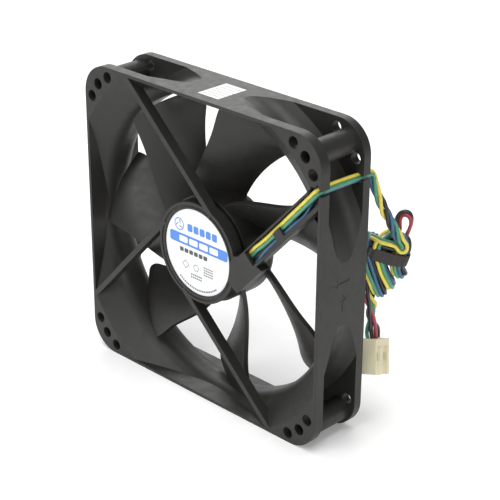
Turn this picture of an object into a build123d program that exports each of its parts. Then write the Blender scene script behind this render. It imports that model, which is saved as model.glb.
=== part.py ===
from build123d import *
from math import cos, pi, radians, sin, tan
import os

# A 120 mm axial case fan, in millimetres.
# The row frame: X across the fan, Y along its axis (front, exhaust side at -Y), Z up.
# The fan pieces are drawn in fan axes: x across, y up from the rotor's axis and z towards
# the front, with z = 0 at half depth. stand() then puts them in the row frame.

# Driving dimensions of the housing
FRAME_SIZE = 120.0
FRAME_DEPTH = 25.0
AXIS_HEIGHT = FRAME_SIZE / 2
CORNER_R = 12.0
FRONT_FLANGE = 4.2
REAR_FLANGE = 3.5
DUCT_OUTER_R = 61.2
THROAT_R = 58.0
THROAT_FRONT = 4.5
THROAT_REAR = -6.8
FRONT_MOUTH_R = 69.4
REAR_MOUTH_R = 67.7
FLARE_BEND_R = 7.0
FRONT_CLIP = 58.8
REAR_CLIP = 59.2
DUCT_WALL = 2.2

# Mounting holes: 105 mm square pattern through pillars, and two side holes beside each
HOLE_PITCH = 105.0
HOLE_R = 2.15
PILLAR_R = 4.5
SIDE_HOLE_NEAR = 47.05
SIDE_HOLE_FAR = 56.16

# Motor base, struts and the channel that holds the wires
BASE_R = 19.7
BASE_INNER_R = 18.4
BASE_DEPTH = 5.0
BASE_FLOOR = 1.0
LABEL_R = 16.8
LABEL_RECESS_R = 17.0
LABEL_RECESS = 0.7
RIM_GROOVE = (17.7, 18.6)
RIM_GROOVE_DEPTH = 0.35
STICKER_THICKNESS = 0.1
STRUT_OFFSET = 17.6
STRUT_WIDTH = 2.1
STRUT_DEPTH = 4.0
STRUT_ROOT = ((4, 18.6), (10, 16.4), (24, 16.6), (24, 18.6))
PLAIN_STRUT_ANGLES = (137.0, 227.0, 317.0)
WIRE_STRUT_ANGLE = 47.0
CHANNEL_INNER = 11.7
CHANNEL_OUTER = 19.0
CHANNEL_OPEN = (12.45, 17.45)
CHANNEL_COVERED = (12.2, 17.9)
CHANNEL_DEPTH = 4.5
CHANNEL_FLOOR = 1.0
CHANNEL_ROOF = ((6, 12), (17, 10.6), (22.6, 14.4), (24, 18.4), (25.4, 21.4), (7.7, 21.4))
CHANNEL_ROOF_END = 23.0
BEYOND_DUCT = 72.0
NOTCH_WIDTH = 3.7
FRONT_NOTCH_Y = 40.9
REAR_NOTCH_Y = 40.3
REAR_NOTCH_R = 1.95
NOTCH_BEND_R = 2.4
FRONT_SLIT = (40.0, 42.0)
REAR_SLIT = (39.9, 41.6)
BUNDLE_X = 57.2

# Rotor
BLADES = 7
HUB_R = 20.4
HUB_FRONT = 6.5
HUB_REAR = -9.0
HUB_WALL = 1.6
TIP_R = 57.0
BLADE_THICKNESS = 1.7
BLADE_FRONT = 5.2
BLADE_REAR = -8.2
BLADE_CAMBER = 1.4
YOKE_R = 18.5
YOKE_WALL = 0.8
MAGNET_WALL = 2.0
MAGNET_LENGTH = 9.0
SHAFT_R = 1.5
SHAFT_END = 10.7

# Ball bearings, 3 x 8 x 4 mm
BEARING_R = 4.0
BEARING_WIDTH = 4.0
BALLS = 7
BALL_R = 0.794
BALL_CIRCLE_R = 2.75
RACE_GAP = 0.03
FRONT_BEARING_Z = 7.8
REAR_BEARING_Z = -2.2

# Stator and circuit board
CORE_R = 14.8
CORE_LOW = -1.0
CORE_HIGH = 5.0
POLES = 4
NECK_WIDTH = 5.0
BEARING_TUBE_R = 5.0
INSULATION = 0.6
WINDING = 1.6
COIL_START = 7.7
COIL_LENGTH = 3.6
PIN_CIRCLE_R = 8.3
PIN_HALF = 0.3
BOARD_R = 17.4
BOARD_LOW = 8.0
BOARD_THICKNESS = 1.0

# Wires and the free cable
WIRE_D = 1.4
WIRE_PITCH = 1.42
LEAD_D = 3.4
PAIR_D = 2.8
PIN_PITCH = 2.54
POWER_PITCH = 5.08

HALF = FRAME_DEPTH / 2
FRONT_PLANE = HALF - FRONT_FLANGE
REAR_PLANE = REAR_FLANGE - HALF
CORE_MIDDLE = (CORE_LOW + CORE_HIGH) / 2
BOARD_HIGH = BOARD_LOW + BOARD_THICKNESS
BASE_INSIDE = HALF - LABEL_RECESS - BASE_FLOOR
GREASE_HOLE_R = BEARING_R + 0.2
WIRE_Z = BOARD_HIGH + WIRE_D / 2 + 0.02
RAISED_Z = WIRE_Z + 1.1
STACKED_Z = WIRE_Z + WIRE_PITCH

FAN = Plane(origin=(0, 0, AXIS_HEIGHT), x_dir=(1, 0, 0), z_dir=(0, -1, 0))

# The hanging cable has axes of its own: across, up, and out towards the front right
HANG_CENTRE = (58.0, 26.6, 66.0)
HANG_TURN = radians(44.2)
HANG = Plane(
    origin=HANG_CENTRE,
    x_dir=(cos(HANG_TURN), sin(HANG_TURN), 0),
    z_dir=(sin(HANG_TURN), -cos(HANG_TURN), 0),
)

os.makedirs("parts", exist_ok=True)


def stand(shape):
    """Move a shape from the fan axes to the row frame."""
    return FAN.location * shape


def save(node, shape):
    export_step(shape, f"parts/{node}.step")


def tube(outer, inner, low, high):
    """A round tube about the fan's axis, between two depths."""
    return Pos(0, 0, low) * extrude(Circle(outer) - Circle(inner), high - low)


def disc(radius, low, high):
    return Pos(0, 0, low) * extrude(Circle(radius), high - low)


def slab(x0, x1, y0, y1, z0, z1):
    """A box given by its two corners."""
    centre = Pos((x0 + x1) / 2, (y0 + y1) / 2, (z0 + z1) / 2)
    return centre * Box(x1 - x0, y1 - y0, z1 - z0)


def polar(radius, angle, z=0.0):
    return (radius * cos(radians(angle)), radius * sin(radians(angle)), z)


def spun(points_line):
    """The solid of revolution between a line of (radius, depth) points and the axis."""
    first, last = points_line @ 0, points_line @ 1
    closing = Polyline((last.X, last.Y), (0, last.Y), (0, first.Y), (first.X, first.Y))
    face = make_face([*points_line.edges(), *closing.edges()])
    return revolve(Plane.XZ * face, Axis.Z)


# ---------------------------------------------------------------- housing


def strut_axes(angle):
    """Outward direction of a strut and the direction to its right, seen from the front."""
    a = radians(angle)
    return (cos(a), sin(a)), (sin(a), -cos(a))


def strut_point(angle, along, offset, z):
    (dx, dy), (nx, ny) = strut_axes(angle)
    return (along * dx + offset * nx, along * dy + offset * ny, z)


def strut_bar(angle, start, end, low_offset, high_offset, z0, z1):
    """A straight bar beside the radial line at an angle, held between two offsets."""
    bar = slab(start, end, -high_offset, -low_offset, z0, z1)
    return Rot(0, 0, angle) * bar


def strut_plate(angle, corners, depth):
    """A flat plate at a strut's root, from (along, offset) corners, level with the front."""
    outline = [strut_point(angle, along, offset, 0) for along, offset in corners]
    return Pos(0, 0, HALF - depth) * extrude(make_face(Polyline(*outline, close=True)), depth)


def duct_outside():
    line = FilletPolyline(
        (REAR_MOUTH_R + DUCT_WALL, -HALF),
        (DUCT_OUTER_R, THROAT_REAR + 1.5),
        (DUCT_OUTER_R, THROAT_FRONT - 1.0),
        (FRONT_MOUTH_R + DUCT_WALL, HALF),
        radius=FLARE_BEND_R,
    )
    return spun(line)


def duct_inside():
    line = FilletPolyline(
        (REAR_MOUTH_R, -HALF),
        (THROAT_R, THROAT_REAR),
        (THROAT_R, THROAT_FRONT),
        (FRONT_MOUTH_R, HALF),
        radius=FLARE_BEND_R,
    )
    bore = spun(line)
    front = slab(-FRONT_CLIP, FRONT_CLIP, -FRONT_CLIP, FRONT_CLIP, 0, HALF)
    rear = slab(-REAR_CLIP, REAR_CLIP, -REAR_CLIP, REAR_CLIP, -HALF, 0)
    return bore & (front + rear)


def motor_base():
    base = disc(BASE_R, HALF - BASE_DEPTH, HALF)
    base -= disc(BASE_INNER_R, HALF - BASE_DEPTH, BASE_INSIDE)
    base -= disc(LABEL_RECESS_R, HALF - LABEL_RECESS, HALF)
    groove_inner, groove_outer = RIM_GROOVE
    base -= tube(groove_outer, groove_inner, HALF - RIM_GROOVE_DEPTH, HALF)
    base -= disc(GREASE_HOLE_R, BASE_INSIDE, HALF)
    return base


def wire_channel():
    """The strut that is a trough for the wires, roofed where it joins the motor base."""
    angle = WIRE_STRUT_ANGLE
    low = HALF - CHANNEL_DEPTH
    trough = strut_bar(angle, 8, BEYOND_DUCT, CHANNEL_INNER, CHANNEL_OUTER, low, HALF)
    return trough + strut_plate(angle, CHANNEL_ROOF, CHANNEL_DEPTH)


def channel_cuts():
    """The inside of the trough, with the roof left over its root."""
    angle = WIRE_STRUT_ANGLE
    floor = HALF - CHANNEL_DEPTH + CHANNEL_FLOOR
    under_roof = strut_bar(angle, 4, 30, *CHANNEL_COVERED, floor, BASE_INSIDE)
    open_top = strut_bar(angle, CHANNEL_ROOF_END, 33, *CHANNEL_COVERED, floor, HALF + 1)
    open_top += strut_bar(angle, 33, BEYOND_DUCT, *CHANNEL_OPEN, floor, HALF + 1)
    return under_roof + (open_top & slab(0, FRONT_CLIP, 0, FRONT_CLIP, 0, HALF + 1))


def wire_tab():
    """The short lip over the outer wires, standing on the trough's outer wall."""
    return strut_bar(WIRE_STRUT_ANGLE, 40.6, 45.0, 14.1, CHANNEL_OUTER, HALF - 0.9, HALF)


def notches():
    """A pocket for the wires in each flange's rim, with a narrow slit to lay them in by."""
    beyond = FRAME_SIZE / 2 + 1
    half = NOTCH_WIDTH / 2
    y = FRONT_NOTCH_Y
    low, high = FRONT_PLANE - 1, HALF + 1
    front = slab(BUNDLE_X - 2.1, BUNDLE_X + half, y - half, y + half, low, high)
    front += Pos(BUNDLE_X - 0.6, y - 0.6, 0) * disc(NOTCH_BEND_R, low, high)
    front += slab(BUNDLE_X, beyond, *FRONT_SLIT, low, high)
    low, high = -HALF - 1, REAR_PLANE + 1
    rear = Pos(BUNDLE_X, REAR_NOTCH_Y, 0) * disc(REAR_NOTCH_R, low, high)
    rear += slab(BUNDLE_X, beyond, *REAR_SLIT, low, high)
    return front + rear


def spider():
    """The motor base with its four struts, ending inside the front mouth's wall."""
    body = motor_base() + wire_channel()
    low = STRUT_OFFSET - STRUT_WIDTH / 2
    high = STRUT_OFFSET + STRUT_WIDTH / 2
    for angle in PLAIN_STRUT_ANGLES:
        body += strut_bar(angle, 6, BEYOND_DUCT, low, high, HALF - STRUT_DEPTH, HALF)
        body += strut_plate(angle, STRUT_ROOT, STRUT_DEPTH)
    inside = FRAME_SIZE / 2 - 0.4
    reach = disc(FRONT_MOUTH_R + 1.0, 0, HALF) & slab(-inside, inside, -inside, inside, 0, HALF)
    hollow = disc(BASE_INNER_R, 0, BASE_INSIDE)
    hollow += disc(LABEL_RECESS_R, HALF - LABEL_RECESS, HALF + 1)
    hollow += disc(GREASE_HOLE_R, BASE_INSIDE, HALF)
    return (body & reach) - hollow


def arrow_cut(length, angle):
    """A shallow arrow, sunk in the right-hand side wall."""
    shaft = Rectangle(length, 1.0)
    head = Pos(length / 2, 0) * Rot(0, 0, -90) * Triangle(a=3.4, b=3.4, c=3.4)
    mark = Plane.YZ * (Rot(0, 0, angle) * (shaft + head))
    return Pos(FRAME_SIZE / 2 - 0.12, 0, 0) * extrude(mark, 1.0)


def frame():
    plate = RectangleRounded(FRAME_SIZE, FRAME_SIZE, CORNER_R)
    envelope = Pos(0, 0, -HALF) * extrude(plate, FRAME_DEPTH)
    body = duct_outside() & envelope
    body += Pos(0, 0, FRONT_PLANE) * extrude(plate, FRONT_FLANGE)
    body += Pos(0, 0, -HALF) * extrude(plate, REAR_FLANGE)
    near = HOLE_PITCH / 2
    corners = [(sx, sy) for sx in (1, -1) for sy in (1, -1)]
    for sx, sy in corners:
        body += Pos(sx * near, sy * near, -HALF) * extrude(Circle(PILLAR_R), FRAME_DEPTH)
    body -= duct_inside()
    for sx, sy in corners:
        for x, y in ((near, near), (SIDE_HOLE_NEAR, SIDE_HOLE_FAR), (SIDE_HOLE_FAR, SIDE_HOLE_NEAR)):
            body -= Pos(sx * x, sy * y, -HALF) * extrude(Circle(HOLE_R), FRAME_DEPTH)
    body += spider()
    body -= channel_cuts()
    body += wire_tab()
    body -= notches()
    # Sunk arrows on the right-hand wall: turning direction above, air flow below
    body -= Pos(0, 5, 0) * arrow_cut(7.0, 90)
    body -= Pos(0, -4, 0) * arrow_cut(5.0, 0)
    return body


def labels():
    low = HALF - LABEL_RECESS
    save("hub_label", stand(disc(LABEL_R, low, low + STICKER_THICKNESS)))
    top = FRAME_SIZE / 2
    save("side_sticker", stand(slab(-3.2, 7.0, top, top + STICKER_THICKNESS, -6.2, 8.0)))


# ---------------------------------------------------------------- bearings and shaft


def bearing(name, z):
    """A shielded ball bearing, with its two rings, balls, cage and shields apart."""
    low, high = z - BEARING_WIDTH / 2, z + BEARING_WIDTH / 2
    ball_path = Pos(0, 0, z) * Torus(BALL_CIRCLE_R, BALL_R + RACE_GAP)
    save(f"{name}_bearing_outer_ring", stand(tube(BEARING_R, 3.25, low, high) - ball_path))
    save(f"{name}_bearing_inner_ring", stand(tube(2.2, SHAFT_R, low, high) - ball_path))
    angles = [360 / BALLS * k for k in range(BALLS)]
    balls = [Pos(*polar(BALL_CIRCLE_R, a, z)) * Sphere(BALL_R) for a in angles]
    save(f"{name}_bearing_balls", stand(Compound(children=balls)))
    cage = tube(3.0, 2.5, z - 0.5, z + 0.5)
    for a in angles:
        cage -= Pos(*polar(BALL_CIRCLE_R, a, z)) * Sphere(BALL_R + RACE_GAP)
    save(f"{name}_bearing_cage", stand(cage))
    shields = [
        tube(3.22, 2.3, low + 0.1, low + 0.3),
        tube(3.22, 2.3, high - 0.3, high - 0.1),
    ]
    save(f"{name}_bearing_shields", stand(Compound(children=shields)))


def shaft_group():
    front_face = FRONT_BEARING_Z + BEARING_WIDTH / 2
    shaft = disc(SHAFT_R, HUB_REAR + 1.0, SHAFT_END)
    shaft -= tube(SHAFT_R + 1, SHAFT_R - 0.3, front_face + 0.25, front_face + 0.6)
    save("shaft", stand(shaft))
    save("shaft_washer", stand(tube(2.2, SHAFT_R, front_face, front_face + 0.2)))
    clip = tube(2.6, SHAFT_R - 0.28, front_face + 0.28, front_face + 0.58)
    clip -= slab(0, 4, -0.8, 0.8, front_face, front_face + 1)
    save("retaining_clip", stand(clip))
    bushing = tube(3.2, SHAFT_R, -8.4, -6.2)
    save("hub_bushing", stand(bushing))
    spring_rear = -6.1
    spring_front = REAR_BEARING_Z - BEARING_WIDTH / 2 - 0.1
    wire = 0.15
    turns = 2.0
    rise = spring_front - spring_rear - 2 * wire
    helix = Pos(0, 0, spring_rear + wire) * Helix(pitch=rise / turns, height=rise, radius=1.9)
    section = Plane(origin=helix @ 0, z_dir=helix % 0) * Circle(wire)
    save("preload_spring", stand(sweep(section, path=helix)))
    save("bearing_tube", stand(
        tube(BEARING_TUBE_R, BEARING_R, -4.3, BASE_INSIDE)
        + tube(BEARING_TUBE_R, 3.5, REAR_BEARING_Z + 2.0, FRONT_BEARING_Z - 2.0)
    ))


# ---------------------------------------------------------------- stator and board


def pole_plan(neck, hub_r, shoe_inner, shoe_outer, shoe_half_angle):
    """The cross-shaped plan of the stator: a ring, necks and curved pole shoes."""
    plan = Circle(hub_r)
    for k in range(POLES):
        turn = Rot(0, 0, 360 / POLES * k)
        plan += turn * (Pos((shoe_outer - 1) / 2, 0) * Rectangle(shoe_outer - 1, neck))
        reach = shoe_outer + 2
        wedge = make_face(Polyline(
            (0, 0),
            (reach * cos(shoe_half_angle), -reach * sin(shoe_half_angle)),
            (reach * 1.3, 0),
            (reach * cos(shoe_half_angle), reach * sin(shoe_half_angle)),
            close=True,
        ))
        plan += turn * ((Circle(shoe_outer) - Circle(shoe_inner)) & wedge)
    return plan - Circle(BEARING_TUBE_R)


def stator():
    plan = pole_plan(NECK_WIDTH, 7.0, 12.6, CORE_R, radians(40))
    core = Pos(0, 0, CORE_LOW) * extrude(plan, CORE_HIGH - CORE_LOW)
    save("stator_core", stand(core))
    cover = pole_plan(NECK_WIDTH + 2 * INSULATION, 7.5, 12.4, 14.2, radians(30))
    top = CORE_HIGH + INSULATION
    posts = [
        Pos(*polar(PIN_CIRCLE_R, 45 + 90 * k)) * disc(1.2, CORE_HIGH, BOARD_LOW - 0.1)
        for k in range(POLES)
    ]
    front_half = Pos(0, 0, CORE_MIDDLE) * extrude(cover, top - CORE_MIDDLE)
    lips = tube(14.2, 13.2, top, top + 1.0)
    slots = extrude(pole_plan(NECK_WIDTH, 1.0, 12.4, 14.4, radians(30)), 20)
    front_half += lips & slots
    for post in posts:
        front_half += post
    bottom = CORE_LOW - INSULATION
    rear_half = Pos(0, 0, bottom) * extrude(cover, CORE_MIDDLE - bottom)
    rear_half += tube(14.2, 13.2, bottom - 1.0, bottom) & (Pos(0, 0, -10) * slots)
    pins = []
    for k in range(POLES):
        pin = slab(-PIN_HALF, PIN_HALF, -PIN_HALF, PIN_HALF, top, BOARD_HIGH + 0.5)
        pin = Pos(*polar(PIN_CIRCLE_R, 45 + 90 * k)) * pin
        pins.append(pin)
        front_half -= pin
    save("front_insulator", stand(front_half - core))
    save("rear_insulator", stand(rear_half - core))
    save("terminal_pins", stand(Compound(children=pins)))
    coils = []
    half_width = NECK_WIDTH / 2 + INSULATION
    half_height = (CORE_HIGH - CORE_LOW) / 2 + INSULATION
    for k in range(POLES):
        section = RectangleRounded(
            2 * (half_width + WINDING), 2 * (half_height + WINDING), WINDING
        ) - Rectangle(2 * half_width + 0.02, 2 * half_height + 0.02)
        coil = Pos(COIL_START, 0, CORE_MIDDLE) * extrude(Plane.YZ * section, COIL_LENGTH)
        coils.append(Rot(0, 0, 360 / POLES * k) * coil)
    save("windings", stand(Compound(children=coils)))


def circuit():
    board = disc(BOARD_R, BOARD_LOW, BOARD_HIGH) - disc(BEARING_TUBE_R + 0.1, BOARD_LOW, BOARD_HIGH)
    board -= slab(-20, 20, -20, -16.2, BOARD_LOW, BOARD_HIGH)
    solder = []
    for k in range(POLES):
        place = Pos(*polar(PIN_CIRCLE_R, 45 + 90 * k, BOARD_HIGH))
        hole = PIN_HALF + 0.02
        board -= place * slab(-hole, hole, -hole, hole, -BOARD_THICKNESS, 0)
        collar = Pos(0, 0, 0.2) * Cone(0.8, 0.5, 0.4)
        hole = PIN_HALF + 0.01
        solder.append(place * (collar - slab(-hole, hole, -hole, hole, -1, 1)))
    save("circuit_board", stand(board))
    save("solder_joints", stand(Compound(children=solder)))
    hall = Rot(0, 0, 45) * slab(14.4, 15.8, -2.0, 2.0, BOARD_LOW - 1.3, BOARD_LOW)
    save("hall_sensor", stand(hall))
    chip = slab(-12.5, -7.5, -2.2, 2.2, BOARD_HIGH + 0.1, BOARD_HIGH + 1.3)
    leads = []
    for k in range(4):
        x = -11.9 + 1.27 * k
        for y in (-3.1, 2.2):
            leads.append(slab(x, x + 0.4, y, y + 0.9, BOARD_HIGH, BOARD_HIGH + 0.5))
    save("driver_chip", stand(Compound(children=[chip, *leads])))
    low = BOARD_HIGH
    capacitors = [slab(x, x + 2.0, 9.6, 10.9, low, low + 1.1) for x in (-9.5, -6.0)]
    save("chip_capacitors", stand(Compound(children=capacitors)))
    resistors = [slab(x, x + 1.6, 12.6, 13.4, low, low + 0.5) for x in (-8.0, -4.5, -1.0)]
    save("chip_resistors", stand(Compound(children=resistors)))


# ---------------------------------------------------------------- rotor


def blade_edges(radius):
    """Angles in degrees of the front (trailing) and rear (leading) edges at a radius."""
    span = (radius - HUB_R) / (TIP_R - HUB_R)
    tip_round = max(0.0, (span - 0.8) / 0.2) ** 2
    leading = -29.0 - 21.0 * span + 5.0 * tip_round
    trailing = -17.0 + 34.0 * max(0.0, 1 - span) ** 2.2 - 1.5 * tip_round
    return trailing, leading


def blade():
    """A swept, cambered blade as a thickened surface between its two edges."""
    rows = []
    root, tip = HUB_R - 1.2, TIP_R + 0.6
    radii = [root + (tip - root) * k / 11 for k in range(12)]
    for radius in radii:
        trailing, leading = blade_edges(radius)
        row = []
        for step in range(7):
            f = step / 6
            angle = trailing + (leading - trailing) * f
            depth = BLADE_FRONT + (BLADE_REAR - BLADE_FRONT) * f
            depth += BLADE_CAMBER * sin(pi * f)
            row.append(Vector(*polar(radius, angle, depth)))
        rows.append(row)
    surface = Face.make_surface_from_array_of_points(rows)
    return thicken(surface, BLADE_THICKNESS / 2, both=True)


def impeller():
    hub = disc(HUB_R, HUB_REAR, HUB_FRONT)
    hub = fillet(hub.edges().filter_by(GeomType.CIRCLE).sort_by(Axis.Z)[0], 3.0)
    hub -= disc(YOKE_R + 0.02, HUB_REAR + HUB_WALL, HUB_FRONT)
    hub -= disc(3.22, HUB_REAR + 0.6, HUB_FRONT)
    swept = blade() & tube(TIP_R, HUB_R - 0.9, BLADE_REAR - 2, BLADE_FRONT + 2)
    for k in range(BLADES):
        hub += Rot(0, 0, 360 / BLADES * k) * swept
    return hub


def rotor():
    save("impeller", stand(impeller()))
    rear = HUB_REAR + HUB_WALL + 0.02
    yoke = tube(YOKE_R, YOKE_R - YOKE_WALL, rear, HUB_FRONT - 0.3)
    yoke += tube(YOKE_R, 3.22, rear, rear + YOKE_WALL)
    save("rotor_yoke", stand(yoke))
    outer = YOKE_R - YOKE_WALL - 0.02
    magnet = tube(outer, outer - MAGNET_WALL, HUB_FRONT - 0.9 - MAGNET_LENGTH, HUB_FRONT - 0.9)
    save("magnet_ring", stand(magnet))


# ---------------------------------------------------------------- wires and cable


def arc_radii(points):
    """The largest tangent arcs that the runs on each side of a corner allow."""
    radii = []
    for before, here, after in zip(points, points[1:], points[2:]):
        first, second = Vector(*here) - Vector(*before), Vector(*after) - Vector(*here)
        half_turn = radians(first.get_angle(second)) / 2
        radii.append(0.45 * min(first.length, second.length) / tan(half_turn))
    return radii


def cord(node, points, diameter):
    """A plain round tube along straight runs joined by tangent arcs."""
    radii = arc_radii(points)
    path = FilletPolyline(*points, radius=radii)
    section = Plane(origin=path @ 0, z_dir=path % 0) * Circle(diameter / 2)
    body = sweep(section, path=path)
    expected = pi * diameter ** 2 / 4 * path.length
    print(f"{node}: length {path.length:.1f}, volume ratio {body.volume / expected:.4f}, radii",
          " ".join(f"{r:.1f}" for r in radii))
    save(node, body)


def to_row(point):
    """A point in fan axes, given in the row frame."""
    x, y, z = point
    return (x, -z, y + AXIS_HEIGHT)


# Each held wire's way along the trough, as (along, offset, z) from the circuit board
HELD_RUNS = {
    "yellow": [
        (11, 12.92, WIRE_Z),
        (23.5, 12.92, WIRE_Z),
        (27.5, 12.92, RAISED_Z),
        (32, 13.4, RAISED_Z),
        (45.5, 13.4, RAISED_Z),
        (49, 13.4, STACKED_Z),
    ],
    "green": [
        (11, 14.34, WIRE_Z),
        (23.5, 14.34, WIRE_Z),
        (27.5, 14.34, RAISED_Z),
        (32, 14.85, RAISED_Z),
        (45.5, 14.85, RAISED_Z),
        (49, 14.85, STACKED_Z),
    ],
    "black": [(11, 15.76, WIRE_Z), (49.5, 15.78, WIRE_Z)],
    "blue": [
        (11, 17.18, WIRE_Z),
        (23.5, 17.18, WIRE_Z),
        (27.5, 17.18, RAISED_Z),
        (32, 16.7, RAISED_Z),
        (52, 16.7, RAISED_Z),
        (57, 16.7, WIRE_Z),
    ],
}
BUNDLE_PLACES = {"black": (-1, 0), "yellow": (-1, 1), "green": (1, 1), "blue": (1, 0)}


def held_wires():
    """Four wires from the circuit board, along the trough and back through both notches.

    Yellow, green and blue lie on top in the trough and black runs under them. At its end
    black and blue go under the others, and the four turn rearwards as a square bundle.
    """
    angle = WIRE_STRUT_ANGLE
    (dx, dy), (nx, ny) = strut_axes(angle)
    bundle_offset = BUNDLE_X * nx + FRONT_NOTCH_Y * ny
    bundle_along = BUNDLE_X * dx + FRONT_NOTCH_Y * dy
    half = WIRE_PITCH / 2
    for colour, run in HELD_RUNS.items():
        side, layer = BUNDLE_PLACES[colour]
        last_offset = bundle_offset + side * half
        last_along = bundle_along + (2 * layer - 1) * half
        z = WIRE_Z + layer * WIRE_PITCH
        x, y, _ = strut_point(angle, last_along, last_offset, z)
        route = [strut_point(angle, *place) for place in run]
        route.append(strut_point(angle, 63.5, last_offset, z))
        route.append((x, y, z))
        route.append((x, y, FRONT_PLANE - 5))
        route.append((x, y + REAR_NOTCH_Y - FRONT_NOTCH_Y, -HALF))
        cord(f"wire_{colour}", [to_row(p) for p in route], WIRE_D)


def hang(a, b, c):
    """A point of the hanging cable, given in the row frame."""
    return tuple(HANG.from_local_coords(Vector(a, b, c)))


BAND_CENTRE = (-1.7, 1.3)
BAND_TILT = -17.0
BAND_WIDTH = 4.8
BAND_WALL = 0.7
BAND_INNER_R = 2.4
HANK_WAIST = (18.0, 10.2)
HANK_HALF_DEPTH = 5.6
PLUG_TOP = (-2.95, -34.0, 0.0)
PLUG_TURN = 57.0
PLUG_LEAN = -25.0
POWER_TURN = -45.8

LEAD_ROUTE = [
    (BUNDLE_X, HALF, AXIS_HEIGHT + REAR_NOTCH_Y),
    (BUNDLE_X, 15.45, AXIS_HEIGHT + REAR_NOTCH_Y),
    (57.35, 16.85, 98.9),
    (58.2, 17.2, 95.0),
    (60.0, 18.6, 89.0),
    (62.1, 21.6, 82.4),
    hang(1.8, 11.3, 5.4),
]
TAIL_ROUTE = [
    hang(-5.4, -12.5, -1.4),
    hang(-5.4, -18.0, -2.2),
    hang(-4.4, -22.4, -3.0),
    hang(-5.0, -26.8, -3.2),
    hang(-1.9, -31.0, -3.1),
    hang(-1.9, -34.6, -1.42),
]
RISER_ROUTE = [
    hang(-4.2, -33.15, 1.7),
    hang(-4.2, -30.0, 0.3),
    hang(-4.5, -26.4, 1.2),
    hang(-5.6, -21.2, 2.6),
    hang(-7.4, -15.2, 2.8),
    hang(-8.2, -9.8, 2.4),
]
LOOP_ROUTE = [
    hang(3.6, 8.0, -2.2),
    hang(3.3, 10.8, -2.2),
    hang(3.3, 13.2, -2.1),
    hang(4.4, 15.1, -2.0),
    hang(6.4, 15.4, -1.8),
    hang(7.9, 13.8, -1.6),
    hang(8.0, 11.4, -1.4),
    hang(7.2, 9.0, -1.2),
    hang(6.2, 6.6, -0.9),
]
DROP_ROUTE = [
    hang(-8.0, -2.4, -2.6),
    hang(-11.4, -4.8, -4.8),
    hang(-13.6, -10.0, -7.6),
    hang(-15.0, -16.4, -11.0),
    hang(-15.5, -22.4, -13.8),
    hang(-15.5, -28.0, -13.8),
]


def lobe(circles):
    """A flat rounded slab round a few circles, in the plane of the hanging cable."""
    outline = [(Pos(a, b) * Circle(r)).edge() for a, b, r in circles]
    return extrude(make_hull(outline), HANK_HALF_DEPTH, both=True)


def hank_and_band():
    """The folded part of the cable, pinched at its middle by a band."""
    upper = lobe([(-8.0, 7.0, 3.6), (-3.0, 8.4, 3.2), (5.6, 6.4, 3.4)])
    lower = lobe([(-8.2, -5.6, 3.4), (4.6, -6.2, 3.2), (0.5, -9.6, 3.2), (-3.6, -12.8, 3.0)])
    place = Pos(BAND_CENTRE[0], BAND_CENTRE[1], 0) * Rot(0, 0, BAND_TILT) * Rot(-90, 0, 0)
    gap = place * Box(60, 60, BAND_WIDTH + 0.04)
    wide, deep = HANK_WAIST
    inner = RectangleRounded(wide, deep, BAND_INNER_R)
    core = RectangleRounded(wide - 0.04, deep - 0.04, BAND_INNER_R)
    waist = place * extrude(core, BAND_WIDTH / 2 + 2, both=True)
    hank = ((upper + lower) - gap) + waist
    grow = 2 * BAND_WALL
    ring = RectangleRounded(wide + grow, deep + grow, BAND_INNER_R + BAND_WALL) - inner
    band = place * extrude(ring, BAND_WIDTH / 2, both=True)
    save("cable_hank", HANG.location * hank)
    save("cable_band", HANG.location * band)


def fan_plug():
    """Four-way crimp housing for 2.54 mm pitch header pins, with its terminals.

    It is drawn hanging below its own origin, then turned and leant as it hangs.
    """
    wide, deep, tall = 10.2, 5.8, 13.0
    body = slab(-wide / 2, wide / 2, -tall, 0, -deep / 2, deep / 2)
    for x in (-PIN_PITCH, PIN_PITCH):
        body += slab(x - 0.6, x + 0.6, -tall, -3.0, deep / 2, deep / 2 + 0.9)
    terminals = []
    for k in range(4):
        x = PIN_PITCH * (k - 1.5)
        body -= slab(x - 0.95, x + 0.95, -tall, -2.0, -1.3, 1.3)
        body -= slab(x - 0.5, x + 0.5, -8.0, -5.0, 1.2, deep)
        shell = slab(x - 0.85, x + 0.85, 0.8 - tall, -4.0, -1.15, 1.15)
        shell -= slab(x - 0.6, x + 0.6, -tall, -6.0, -0.9, 0.9)
        terminals.append(shell)
    place = HANG.location * Pos(*PLUG_TOP) * Rot(PLUG_LEAN, 0, 0) * Rot(0, PLUG_TURN, 0)
    save("fan_plug", place * body)
    save("fan_plug_terminals", place * Compound(children=terminals))


def power_plug():
    """Four-way drive power plug on the pair, with pins in its two middle ways."""
    wide, deep, tall = 21.0, 8.4, 20.0
    bevel = 2.2
    outline = make_face(Polyline(
        (-wide / 2, -deep / 2),
        (wide / 2, -deep / 2),
        (wide / 2, deep / 2 - bevel),
        (wide / 2 - bevel, deep / 2),
        (bevel - wide / 2, deep / 2),
        (-wide / 2, deep / 2 - bevel),
        close=True,
    ))
    body = Pos(0, 0, -tall) * extrude(outline, tall)
    body -= Pos(0, 0, -tall) * extrude(offset(outline, -1.1), 9.0)
    ways = [POWER_PITCH * (k - 1.5) for k in range(4)]
    for x in ways:
        body -= Pos(x, 0, 0) * disc(1.9, -tall, -1.5)
    pins = [Pos(x, 0, 0) * disc(1.05, 1.5 - tall, -3.0) for x in ways[1:3]]
    place = Pos(*DROP_ROUTE[-1]) * Rot(0, 0, POWER_TURN)
    save("power_plug", place * body)
    save("power_plug_pins", place * Compound(children=pins))


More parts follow.
